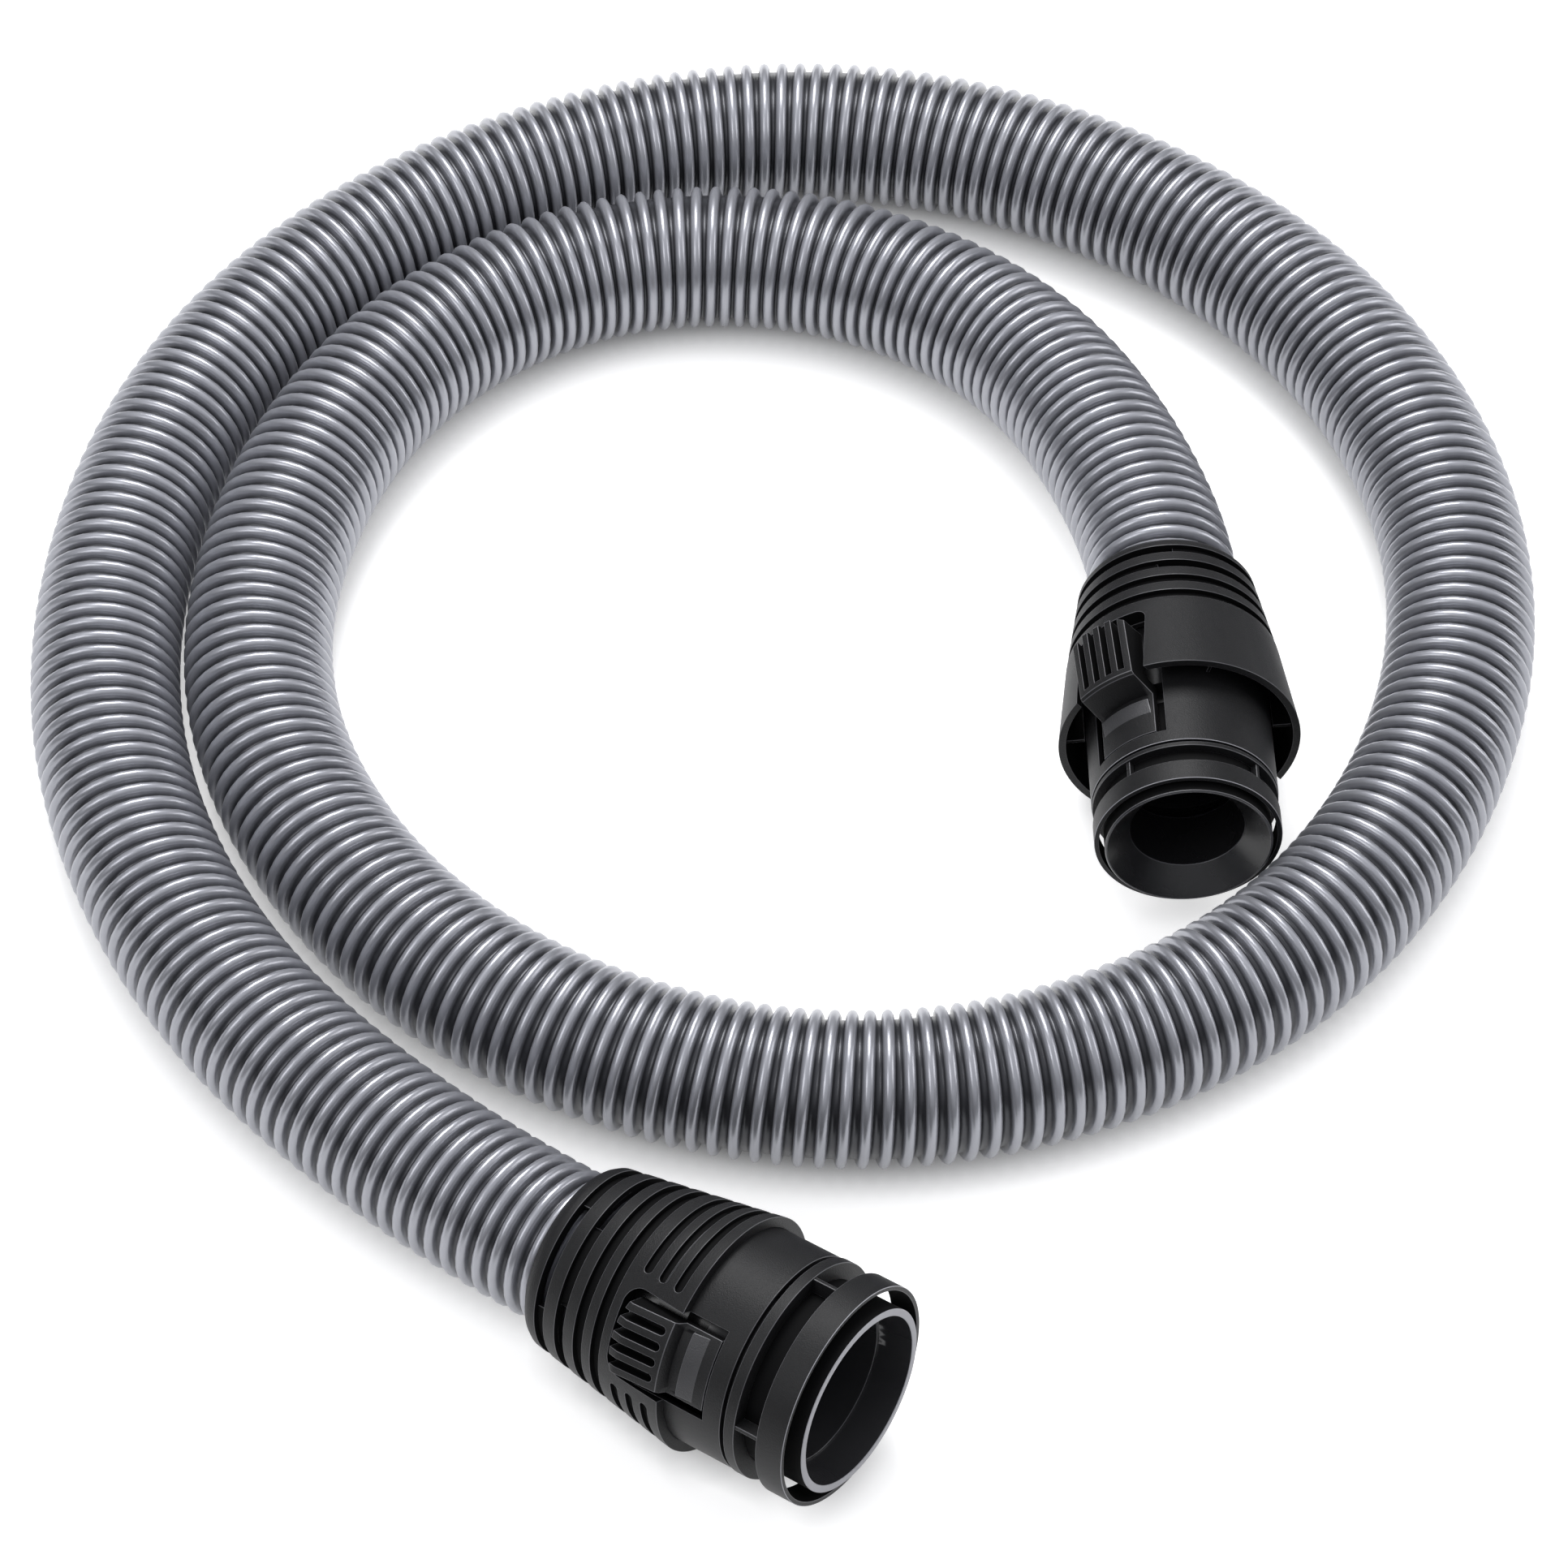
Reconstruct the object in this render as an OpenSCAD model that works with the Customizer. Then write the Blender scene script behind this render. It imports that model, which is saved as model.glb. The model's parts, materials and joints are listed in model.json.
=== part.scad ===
// Flexible vacuum cleaner hose with a swivelling connector at each end, in millimetres.
// The origin is on the floor, below the middle of the two connectors. +Z is up.
// Stations along a connector are distances behind the rim of its mouth.

/* [Hose] */
// Diameter over the crowns of the ribs
hose_d = 44; // [43:0.25:44.25]
// Depth of the grooves between the ribs
rib_depth = 2.8; // [1.5:0.1:3.2]
// Width of the air passage
hose_bore_d = 35; // [28:0.5:36]
// Number of ribs from end to end
rib_count = 200; // [120:1:200]
// Outer rings passed over between two rings of the bore
bore_step = 5; // [4:1:8]

/* [Swivel, alike in both connectors] */
// Length of the end sleeve that holds the hose
sleeve_l = 23; // [21:0.5:30]
// Wall of the end sleeve
sleeve_wall = 1.7; // [1.2:0.1:1.8]
// Clearance between the hose and the end sleeve
hose_gap = 0.3; // [0.1:0.05:0.4]
// Thickness of the shoulder that the hose end butts on
shoulder_t = 2; // [1:0.25:2]
// Outer diameter of the nose in front of the shoulder
nose_d = 39.6; // [38.5:0.2:40]
// Bore of the nose
nose_bore_d = 36.4; // [35:0.2:37]
// Length of the nose
nose_l = 10; // [8:0.5:11]
// Inner diameter of the socket that takes the nose and the seal
socket_d = 42; // [41.5:0.1:42.4]
// How far the nose reaches into the socket
socket_l = 4; // [3.5:0.25:5]
// Free length of the socket in front of the nose
socket_spare_l = 1; // [0.5:0.1:1.5]
// Width of the seal
seal_w = 3; // [2:0.25:3.25]
// How far the seal sits inside the socket's end
seal_inset = 0.4; // [0.2:0.1:0.5]
// Radial running clearance of the seal on the nose
running_gap = 0.08; // [0.04:0.01:0.1]
// Height of the collar on the end sleeve
collar_h = 1.8; // [1:0.1:1.9]
// Width of the collar
collar_w = 2.3; // [1.5:0.1:2.5]
// Width of the ring that keeps the collar in the grip
swivel_ring_w = 2.4; // [1.5:0.1:2.6]
// Bore of the grip round the collar and the ring
swivel_bore_d = 53.2; // [52.8:0.1:53.4]
// Clearance of each face that turns on another
turn_gap = 0.3; // [0.3:0.05:0.4]
// Clearance between pieces pushed into each other
seat_gap = 0.05; // [0.02:0.01:0.1]
// Width of the inner flange that the collar bears on
flange_w = 2.4; // [1.5:0.1:2.6]
// How much narrower the grip's bore is behind the flange
flange_step = 0.8; // [0.4:0.1:1]
// Bore at the hose end of the grip
grip_bore_d = 46.2; // [46:0.1:46.6]
// Length of that bore
grip_bore_l = 4; // [3:0.25:6]
// Rounding of the grip's hose end
grip_end_round = 2.3; // [1:0.1:2.6]

/* [Latches, two on each connector] */
// Clearance on each side of a latch
latch_slit = 2.7; // [1.2:0.1:2.8]
// Gap at the living hinge
hinge_gap = 0.35; // [0.3:0.05:0.4]
// Height of the catch
catch_h = 1; // [0.6:0.1:1.3]
// Number of finger bars on a button
bar_count = 5; // [3:1:6]
// Depth of the slots between the finger bars of the inlet's buttons, below the front edge
inlet_bar_slot_depth = 4; // [3:0.1:4.4]
// Depth of the slots between the finger bars of the handle's buttons, below the front edge
handle_bar_slot_depth = 4.6; // [2:0.1:4.8]
// Thickness of the wall in front of the button
button_front_t = 2.6; // [1.8:0.1:3]
// Rounding of a button's edges
button_round = 0.8; // [0.4:0.1:1]

/* [Inlet connector, which plugs into the cleaner] */
// Place of the centre of the mouth on the floor plan
inlet_rim = [-22.5, -127];
// Heading of the mouth
inlet_heading = -35; // [-37:0.5:-33]
// Rise of the mouth
inlet_tilt = 6.5; // [6:0.25:7]
// Turn of the upper latch from straight up
inlet_latch_turn = 52.5; // [48:0.5:56]
// Width of the latches
inlet_latch_w = 20.2; // [18:0.2:21]
// Width of the slots between their finger bars
inlet_bar_slot_w = 2.4; // [1.5:0.1:2.6]
// Gap between the end ring and the inner tube
inlet_ring_gap = 3.9; // [3:0.1:4.2]
// Length of the end ring
inlet_ring_l = 8.2; // [6:0.2:9]
// Wall of the end ring
inlet_ring_wall = 1.3; // [1:0.1:1.8]
// Start of the narrow band behind the windows
inlet_band_at = 15.4; // [14:0.2:16]
// Width of the narrow band
inlet_band_w = 3.2; // [2.4:0.1:3.6]
// How much the narrow band lies inside the end ring's outline
inlet_band_inset = 0.3; // [0.1:0.1:0.6]
// Length of the spigot that holds the mouth ring in the neck
inlet_spigot_l = 5.9; // [4:0.1:6]
// Wall of that spigot
inlet_spigot_wall = 2.7; // [1.5:0.1:2.8]
// Front end of the neck
inlet_neck_at = 20; // [19.4:0.1:20.4]
// Wall of the neck
inlet_neck_wall = 1.8; // [1.4:0.1:2]
// Depth of the neck in the grip
inlet_neck_seat = 10; // [8:0.5:11]
// Station of the living hinges
inlet_hinge_at = 25.6; // [25.2:0.1:27]
// Station of the steep face of the catch
inlet_catch_at = 34; // [33:0.25:35]
// Length of the ramp of the catch
inlet_catch_l = 4.7; // [3:0.1:5]
// Height of the buttons over the grip at their front edge
inlet_button_rise = 0.2; // [0.1:0.1:1]
// Station of the buttons' highest part
inlet_button_crest_at = 51.3; // [48:0.1:51.5]
// How much higher they are there than at their front edge
inlet_button_crest_rise = 1.4; // [0.5:0.1:1.8]
// How much they drop from there to their rear end
inlet_button_drop = 1.3; // [0.5:0.1:2]
// Rear end of the buttons
inlet_button_end = 54.5; // [53:0.25:55]
// Radius, seen from above, that the rear end of the buttons is rounded to
inlet_button_end_round = 28; // [20:1:40]
// Width of the plain strip in front of the finger bars
inlet_strip_w = 2.3; // [1.5:0.1:4]
// Front end of the grip
inlet_grip_at = 38; // [37.5:0.25:38.5]
// Length of the grip
inlet_grip_l = 50.3; // [49.8:0.1:50.8]
// How far the grip's front lip stands out round the neck
inlet_grip_wall = 3.1; // [2.6:0.1:3.6]
// Wall of the grip at its hose end
inlet_grip_end_wall = 3.5; // [3.2:0.1:4.2]
// Rear end of the cut-outs for the buttons
inlet_cutout_end = 56.5; // [55.5:0.5:57]
// Outer diameter of the inner tube
inlet_tube_d = 52.6; // [51:0.2:53]
// How far the inner tube stands out of the rim
inlet_lip = 2.7; // [1:0.1:4]
// Wall of the inner tube at its lip
inlet_lip_wall = 2.1; // [1:0.1:2.4]
// Wall of the inner tube round its bore
inlet_bore_wall = 4.4; // [4:0.1:4.8]
// Rear end of the bore
inlet_bore_end = 28.5; // [27:0.25:28.75]
// Station of the step at the end of the funnel
inlet_step_at = 7; // [5:0.5:9]
// Width of that step
inlet_step_w = 1.1; // [0.5:0.1:1.5]
// Station of the hose end
inlet_hose_at = 43; // [42.8:0.1:43.4]
// Station of the flange that the end sleeve's collar bears on
inlet_flange_at = 62.9; // [62.8:0.1:63.2]
// Corner radius of the cut-outs for the latches
inlet_cutout_corner = 5; // [2:0.25:5.5]

/* [Handle connector, which plugs into the handle] */
// Place of the centre of the mouth on the floor plan
handle_rim = [74.5, 58];
// Heading of the mouth
handle_heading = -89; // [-91:0.5:-87]
// Rise of the mouth
handle_tilt = 2.5; // [2:0.25:3]
// Turn of the upper latch from straight up
handle_latch_turn = 40.5; // [36:0.5:44]
// Width of the latches
handle_latch_w = 18.4; // [16:0.2:20]
// Width of the slots between their finger bars
handle_bar_slot_w = 2; // [1.4:0.1:2.4]
// Gap between the end ring and the inner tube
handle_ring_gap = 1.45; // [1.2:0.05:1.6]
// Length of the end ring
handle_ring_l = 6.7; // [5:0.1:8]
// Wall of the end ring
handle_ring_wall = 1.4; // [1:0.1:1.6]
// Start of the narrow band behind the windows
handle_band_at = 12.3; // [11:0.1:12.6]
// Width of the narrow band
handle_band_w = 1.4; // [1:0.1:1.6]
// How much the narrow band lies inside the end ring's outline
handle_band_inset = 0.2; // [0.1:0.1:0.5]
// Length of the spigot that holds the mouth ring in the neck
handle_spigot_l = 4.4; // [3:0.1:4.6]
// Wall of that spigot
handle_spigot_wall = 0.95; // [0.8:0.05:1]
// Front end of the neck
handle_neck_at = 14.4; // [14.2:0.1:14.6]
// Wall of the neck
handle_neck_wall = 1.8; // [1.5:0.1:1.9]
// Rear end of the neck
handle_neck_end = 64; // [62:0.25:65]
// Length of the seat of the neck in the grip
handle_neck_seat = 6; // [4:0.5:7]
// Station of the living hinges
handle_hinge_at = 18.6; // [18.4:0.1:19.6]
// Station of the steep face of the catch
handle_catch_at = 31; // [30:0.25:32]
// Length of the ramp of the catch
handle_catch_l = 4.5; // [3:0.1:5]
// Station of the front face of the buttons
handle_button_at = 34.8; // [34.4:0.1:35.2]
// Radius of the buttons at their front edge
handle_button_r = 35.8; // [35:0.1:36]
// Radius of the buttons at their rear end
handle_button_end_r = 37.9; // [36.5:0.1:38]
// Rear end of the buttons
handle_button_end = 56.2; // [54:0.2:57]
// Radius, seen from above, that the rear end of the buttons is rounded to
handle_button_end_round = 18; // [14:0.5:30]
// Inner radius of the buttons
handle_button_under_r = 29.5; // [29.2:0.1:30]
// Front edge of the skirt
handle_grip_at = 36.8; // [36.5:0.1:37]
// Outer diameter of the skirt's front edge
handle_skirt_d = 69.8; // [69:0.2:70.4]
// Wall of the skirt
handle_skirt_wall = 2.2; // [1.6:0.1:2.4]
// Station where the skirt meets the slotted grip
handle_waist_at = 63.6; // [62.5:0.1:64]
// Wall round the swivel at the waist between skirt and slotted grip
handle_waist_wall = 4.7; // [4.4:0.1:4.9]
// Rear end of the open space in the skirt
handle_skirt_end = 58; // [57.5:0.1:58.5]
// Hose end of the grip
handle_grip_end = 94; // [93:0.25:94.5]
// Wall of the grip at its hose end
handle_grip_end_wall = 3.2; // [3:0.1:3.9]
// Rear end of the cut-outs for the buttons
handle_cutout_end = 61.2; // [59:0.2:62]
// Thickness of the webs in the skirt
skirt_web_t = 1; // [0.8:0.1:1.6]
// Start of the webs in the skirt
skirt_web_at = 40; // [38:0.5:44]
// Turn of the webs in the skirt from a latch
skirt_web_turn = 55; // [48:1:60]
// Wall of the inner tube round its socket
handle_socket_wall = 1.5; // [1.2:0.1:1.7]
// How much wider the rest of the inner tube is, on each side
handle_tube_step = 1.35; // [1:0.05:1.4]
// How far the inner tube stands out of the rim
handle_lip = 2.6; // [1:0.1:4]
// Wall of the inner tube at its lip
handle_lip_wall = 1.05; // [0.8:0.05:1.6]
// Bore of the inner tube
handle_bore_d = 32.6; // [31:0.2:34]
// Station of the step at the end of the funnel
handle_step_at = 4.3; // [3:0.1:6]
// Width of that step
handle_step_w = 0.5; // [0.3:0.1:1]
// Rear end of the narrow bore
handle_bore_end = 22; // [20:0.5:24]
// Station of the hose end
handle_hose_at = 41; // [40.8:0.1:41.4]
// Station of the flange that the end sleeve's collar bears on
handle_flange_at = 75; // [74.8:0.1:75.4]
// Corner radius of the cut-outs for the latches
handle_cutout_corner = 3; // [2:0.25:4.5]

/* [Windows, webs and slots] */
// Number of webs between the end ring and the narrow band
web_count = 4; // [3:1:8]
// Thickness of the webs
web_t = 1.2; // [0.8:0.1:2]
// Turn of the first web of the inlet mouth ring
inlet_web_turn = -19; // [-25:1:-15]
// Turn of the first web of the handle mouth ring
handle_web_turn = 42; // [38:1:46]
// Number of ring slots in a grip, from its hose end
slot_count = 4; // [2:1:4]
// Number of them that are open to the inside
open_slot_count = 2; // [0:1:2]
// Depth of the ring slots
slot_depth = 2; // [1:0.1:2.2]
// Distance from the hose end of the inlet grip to the middle of its first slot
inlet_slot_inset = 6.5; // [6.2:0.1:6.8]
// Width of that slot
inlet_slot_w = 3.25; // [2.75:0.05:3.5]
// How much narrower each further slot of the inlet grip is
inlet_slot_w_step = 0.03; // [0:0.01:0.1]
// Distance between the first two slots of the inlet grip
inlet_slot_pitch = 7.5; // [7.2:0.1:7.7]
// How much less far each further slot of the inlet grip lies from the one before
inlet_slot_pitch_step = 0.58; // [0.5:0.02:0.7]
// Distance from the hose end of the handle grip to the middle of its first slot
handle_slot_inset = 5.8; // [5.5:0.1:6.2]
// Width of the slots of the handle grip
handle_slot_w = 3.2; // [2.8:0.1:3.4]
// Distance between the slots of the handle grip
handle_slot_pitch = 7; // [6.8:0.05:7.1]
// Number of windows in each ring slot that is open to the inside
window_count = 3; // [2:1:5]
// Arc of each of those windows, in degrees
window_arc = 70; // [30:5:90]
// Number of short slots on each side between the inlet buttons
arc_slot_count = 3; // [1:1:3]
// Distance from the front end of the inlet grip to the middle of the first of them
arc_slot_inset = 4.9; // [4:0.1:5.5]
// Distance between their middles
arc_slot_pitch = 5.5; // [5:0.1:5.8]
// Depth of the short slots beside the inlet buttons
arc_slot_depth = 1.5; // [0.8:0.1:1.7]
// Width of the short slots beside the inlet buttons
arc_slot_w = 2.6; // [1.5:0.1:3]
// Plain margin beside the inlet cut-outs
arc_slot_margin = 3.3; // [1.5:0.1:3.4]

/* [Inner tubes] */
// Wall of the inlet's inner tube round its socket
inlet_socket_wall = 2; // [1.5:0.1:2.6]
// Width of the collar that stops the inlet's inner tube
tube_collar_w = 0.9; // [0.6:0.1:1]
// Rounding of the handle's lip
lip_round = 0.4; // [0.2:0.05:0.5]

/* [Hidden] */
$fn = 96;

black = [0.17, 0.17, 0.18];
silver = [0.70, 0.71, 0.73];
rubber = [0.10, 0.10, 0.10];

// Control points of the hose's curve between the straight ends, on the floor plan
route_plan = [
    [-148, -37], [-199, 12], [-233, 78], [-244, 146], [-232, 224], [-195, 287], [-139, 333],
    [-70, 359], [2, 359], [70, 331], [125, 283], [159, 217], [165, 145], [142, 74], [97, 18],
    [29, -16], [-41, -22], [-114, 3], [-167, 51], [-199, 119], [-194, 191], [-164, 257],
    [-104, 302], [-27, 305], [37, 264], [64, 203]
];
// Rise of the first and last control points over the hose's rest height
route_rise_first = 1;
route_rise_last = [2, 7];

// How far a cut runs past what it cuts, and how deep joined shapes reach into each other
past = 1;
// Reach of blocks and cuts that end outside a connector
reach = 50;

hose_r = hose_d / 2;
hose_sides = 8;
ring_count = 2 * rib_count;
// Rings of the bore: evenly spaced, with the last one on the hose's end
bore_rings = floor((ring_count - 1) / bore_step) + 1;
span_steps = 12;

sleeve_r = hose_r + hose_gap + sleeve_wall;
collar_r = sleeve_r + collar_h;
swivel_bore_r = swivel_bore_d / 2;
socket_r = socket_d / 2;
nose_r = nose_d / 2;

inlet_ring_d = inlet_tube_d + 2 * (inlet_ring_gap + inlet_ring_wall);
inlet_band_d = inlet_ring_d - 2 * inlet_band_inset;
inlet_lip_bore_d = inlet_tube_d - 2 * inlet_lip_wall;
inlet_bore_d = inlet_tube_d - 2 * inlet_bore_wall;
inlet_neck_d = inlet_tube_d + 2 * (2 * seat_gap + inlet_spigot_wall + inlet_neck_wall);
inlet_neck_r = inlet_neck_d / 2;
inlet_grip_d = inlet_neck_d + 2 * inlet_grip_wall;
inlet_grip_end_d = grip_bore_d + 2 * inlet_grip_end_wall;
inlet_grip_end = inlet_grip_at + inlet_grip_l;
inlet_rim_z = inlet_grip_d / 2 * cos(inlet_tilt) + inlet_grip_at * sin(inlet_tilt);
inlet_socket_end = inlet_hose_at - shoulder_t - nose_l + socket_l;

handle_tube_end_d = socket_d + 2 * handle_socket_wall;
handle_tube_d = handle_tube_end_d + 2 * handle_tube_step;
handle_ring_d = handle_tube_d + 2 * (handle_ring_gap + handle_ring_wall);
handle_band_d = handle_ring_d - 2 * handle_band_inset;
handle_lip_bore_d = handle_tube_d - 2 * handle_lip_wall;
handle_neck_d = handle_tube_d + 2 * (2 * seat_gap + handle_spigot_wall + handle_neck_wall);
handle_neck_r = handle_neck_d / 2;
handle_waist_d = swivel_bore_d + 2 * handle_waist_wall;
handle_grip_end_d = grip_bore_d + 2 * handle_grip_end_wall;
handle_rim_z = handle_skirt_d / 2 * cos(handle_tilt) + handle_grip_at * sin(handle_tilt);
handle_socket_end = handle_hose_at - shoulder_t - nose_l + socket_l;

// ---- The hose's route: a uniform cubic B-spline ----

// Unit vector out of a mouth
function mouth_axis(heading, tilt) =
    [cos(tilt) * cos(heading), cos(tilt) * sin(heading), sin(tilt)];

inlet_axis = mouth_axis(inlet_heading, inlet_tilt);
handle_axis = mouth_axis(handle_heading, handle_tilt);

// Five control points half a hose apart keep each end straight for one hose diameter
function straight_end(rim, axis, at) =
    [for (k = [-1:3]) rim - axis * (at + k * hose_r)];

function reversed(points) = [for (k = [len(points) - 1:-1:0]) points[k]];

last_plan = len(route_plan) - 1;
function rise(k) = k == 0 ? route_rise_first
    : k == last_plan ? route_rise_last[1]
    : k == last_plan - 1 ? route_rise_last[0]
    : 0;

route = concat(
    straight_end([inlet_rim.x, inlet_rim.y, inlet_rim_z], inlet_axis, inlet_hose_at),
    [for (k = [0:last_plan]) [route_plan[k].x, route_plan[k].y, hose_r + rise(k)]],
    reversed(straight_end([handle_rim.x, handle_rim.y, handle_rim_z], handle_axis, handle_hose_at))
);
spans = len(route) - 3;

// Point of the curve at u spans from its start
function on_curve(u) =
    let (
        k = min(floor(u), spans - 1),
        t = u - k,
        s = 1 - t
    )
    (s * s * s * route[k]
        + (3 * t * t * t - 6 * t * t + 4) * route[k + 1]
        + (3 * s * s * s - 6 * s * s + 4) * route[k + 2]
        + t * t * t * route[k + 3]) / 6;

// Direction of the curve at u spans from its start
function along_curve(u) =
    let (
        k = min(floor(u), spans - 1),
        t = u - k,
        s = 1 - t,
        v = -s * s * route[k]
            + (3 * t * t - 4 * t) * route[k + 1]
            - (3 * s * s - 4 * s) * route[k + 2]
            + t * t * route[k + 3]
    )
    v / norm(v);

samples = [for (i = [0:spans * span_steps]) on_curve(i / span_steps)];
steps = [for (i = [1:len(samples) - 1]) norm(samples[i] - samples[i - 1])];
lengths = [for (i = 0, sum = 0; i <= len(steps); sum = sum + (i < len(steps) ? steps[i] : 0), i = i + 1) sum];
hose_length = lengths[len(lengths) - 1];
// Curve parameter against the length run
run_table = [for (i = [0:len(lengths) - 1]) [lengths[i], i / span_steps]];

function at_share(share) = lookup(share * hose_length, run_table);

// A ring of corners square to the curve. The first corner is to the side, the third on top.
function hose_ring(u, r) =
    let (
        centre = on_curve(u),
        ahead = along_curve(u),
        side = cross(ahead, [0, 0, 1]) / norm(cross(ahead, [0, 0, 1])),
        top = cross(side, ahead)
    )
    [for (k = [0:hose_sides - 1])
        centre + r * (cos(k * 360 / hose_sides) * side + sin(k * 360 / hose_sides) * top)];

// Triangles between ring a and ring b of a mesh, whose first corners are numbered a and b
function ring_faces(a, b) =
    [for (k = [0:hose_sides - 1])
        let (m = (k + 1) % hose_sides)
        each [[a + k, b + k, a + m], [a + m, b + k, b + m]]];

// ---- Helpers in a connector's own frame: +Z leaves the mouth, +X is up ----

module at_inlet() {
    translate([inlet_rim.x, inlet_rim.y, inlet_rim_z])
        rotate([0, 90 - inlet_tilt, inlet_heading])
            rotate([0, 0, 180])
                children();
}

module at_handle() {
    translate([handle_rim.x, handle_rim.y, handle_rim_z])
        rotate([0, 90 - handle_tilt, handle_heading])
            rotate([0, 0, 180])
                children();
}

// A straight ring between two stations
module ring(r_out, r_in, from, to) {
    translate([0, 0, -to])
        difference() {
            cylinder(r = r_out, h = to - from);
            translate([0, 0, -past])
                cylinder(r = r_in, h = to - from + 2 * past);
        }
}

// A turned piece from corners given as [radius, station]
module turned(corners) {
    rotate_extrude()
        polygon([for (c = corners) [c[0], -c[1]]]);
}

// Part of a ring between two angles
module ring_arc(r_out, r_in, from, to, start, arc) {
    rotate([0, 0, start])
        rotate_extrude(angle = arc)
            translate([r_in, -to])
                square([r_out - r_in, to - from]);
}

// A block on the side of +X that keeps what lies within a latch's width w
module latch_block(w, from, to) {
    translate([0, -w / 2, -to])
        cube([reach, w, to - from]);
}

// The same with its rear end rounded, seen from +X
module rounded_block(w, to, round_r) {
    latch_block(w, 0, to - round_r);
    intersection() {
        latch_block(w, to - round_r - past, to);
        translate([0, 0, -to + round_r])
            rotate([0, 90, 0])
                cylinder(r = round_r, h = reach);
    }
}

// The space round a latch, cut through a wall from station from to station to
module latch_cut(latch_w, from, to, corner) {
    w = latch_w + 2 * latch_slit;
    rotate([0, 90, 0])
        linear_extrude(reach)
            union() {
                translate([from, -w / 2])
                    square([to - from - corner, w]);
                translate([from, -w / 2 + corner])
                    square([to - from, w - 2 * corner]);
                for (side = [-1, 1])
                    translate([to - corner, side * (w / 2 - corner)])
                        circle(r = corner);
            }
}

// The slots between the finger bars, from station from to the rear end, with round or square front ends
module bar_slots(latch_w, slot_w, from, to, floor_r, round_ends) {
    bar_pitch = (latch_w + slot_w) / bar_count;
    for (k = [1:bar_count - 1])
        translate([0, -latch_w / 2 + k * bar_pitch - slot_w, 0])
            rotate([0, 90, 0])
                translate([0, 0, floor_r])
                    linear_extrude(reach)
                        union() {
                            translate([round_ends ? from + slot_w / 2 : from, 0])
                                square([to - from, slot_w]);
                            if (round_ends)
                                translate([from + slot_w / 2, slot_w / 2])
                                    circle(d = slot_w);
                        }
}

// A sloping catch on the outside of a tongue
module catch_ramp(latch_w, r, steep_at, l) {
    intersection() {
        turned([[r - past, steep_at - l], [r, steep_at - l], [r + catch_h, steep_at], [r - past, steep_at]]);
        latch_block(latch_w - 2 * catch_h, steep_at - l, steep_at);
    }
}

// Stations of a grip's ring slots, the first at station first
function slot_stations(first, pitch, pitch_step) =
    [for (k = [0:slot_count - 1]) first - k * pitch + k * (k - 1) / 2 * pitch_step];

// Ring slots in a grip. Those open to the inside have windows, staggered from slot to slot.
module grip_slots(stations, radii, w, w_step) {
    for (k = [0:slot_count - 1]) {
        from = stations[k] - (w - k * w_step) / 2;
        to = stations[k] + (w - k * w_step) / 2;
        floor_r = radii[k] - slot_depth;
        ring(reach, floor_r, from, to);
        if (k < open_slot_count)
            for (n = [0:window_count - 1])
                ring_arc(floor_r + past, hose_r, from, to, (n + k / 2) * 360 / window_count, window_arc);
    }
}

// The rounded hose end of a grip, whose outer radius there is r, and its bore up to the flange
function grip_end_corners(r, end, flange_at) = [
    [r - grip_end_round / 4, end - grip_end_round / 3], [r - grip_end_round * 0.7, end],
    [grip_bore_d / 2, end], [grip_bore_d / 2, end - grip_bore_l],
    [swivel_bore_r - flange_step, flange_at + flange_w], [sleeve_r + turn_gap, flange_at + flange_w],
    [sleeve_r + turn_gap, flange_at], [swivel_bore_r, flange_at]
];

// The end sleeve: a cup that the hose is screwed into, with a collar and a nose
module hose_sleeve(hose_at, flange_at) {
    front = hose_at - shoulder_t;
    end = max(hose_at + sleeve_l, flange_at + flange_w + past);
    turned([
        [nose_bore_d / 2, front - nose_l], [nose_r, front - nose_l], [nose_r, front],
        [sleeve_r, front],
        [sleeve_r, flange_at - turn_gap - collar_w], [collar_r, flange_at - turn_gap - collar_w],
        [collar_r, flange_at - turn_gap], [sleeve_r, flange_at - turn_gap],
        [sleeve_r, end], [hose_r + hose_gap, end],
        [hose_r + hose_gap, hose_at], [nose_bore_d / 2, hose_at]
    ]);
}

// The ring that keeps the end sleeve's collar against the flange of the grip
module swivel_ring(flange_at) {
    to = flange_at - 2 * turn_gap - collar_w;
    ring(swivel_bore_r - seat_gap, sleeve_r + turn_gap, to - swivel_ring_w, to);
}

// The seal round the nose of the end sleeve
module seal(socket_end) {
    to = socket_end - seal_inset;
    ring(socket_r - seat_gap, nose_r + running_gap, to - seal_w, to);
}

// ---- Hose ----

module hose_tube() {
    outer = [for (i = [0:ring_count - 1])
        each hose_ring(at_share(i / (ring_count - 1)), i % 2 == 0 ? hose_r : hose_r - rib_depth)];
    inner = [for (i = [0:bore_rings - 1])
        each hose_ring(at_share(i / (bore_rings - 1)), hose_bore_d / 2)];
    first_inner = len(outer);
    last_outer = (ring_count - 1) * hose_sides;
    last_inner = first_inner + (bore_rings - 1) * hose_sides;
    color(silver)
        polyhedron(
            points = concat(outer, inner),
            faces = concat(
                [for (i = [0:ring_count - 2]) each ring_faces(i * hose_sides, (i + 1) * hose_sides)],
                [for (i = [0:bore_rings - 2])
                    each [for (f = ring_faces(i * hose_sides, (i + 1) * hose_sides))
                        [first_inner + f[0], first_inner + f[2], first_inner + f[1]]]],
                [for (f = ring_faces(0, first_inner)) [f[0], f[2], f[1]]],
                ring_faces(last_outer, last_inner)
            )
        );
}

// ---- Inlet connector ----

function inlet_grip_r(at) =
    inlet_grip_d / 2
    + (inlet_grip_end_d - inlet_grip_d) / 2 * (at - inlet_grip_at) / (inlet_grip_l - grip_end_round);

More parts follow.
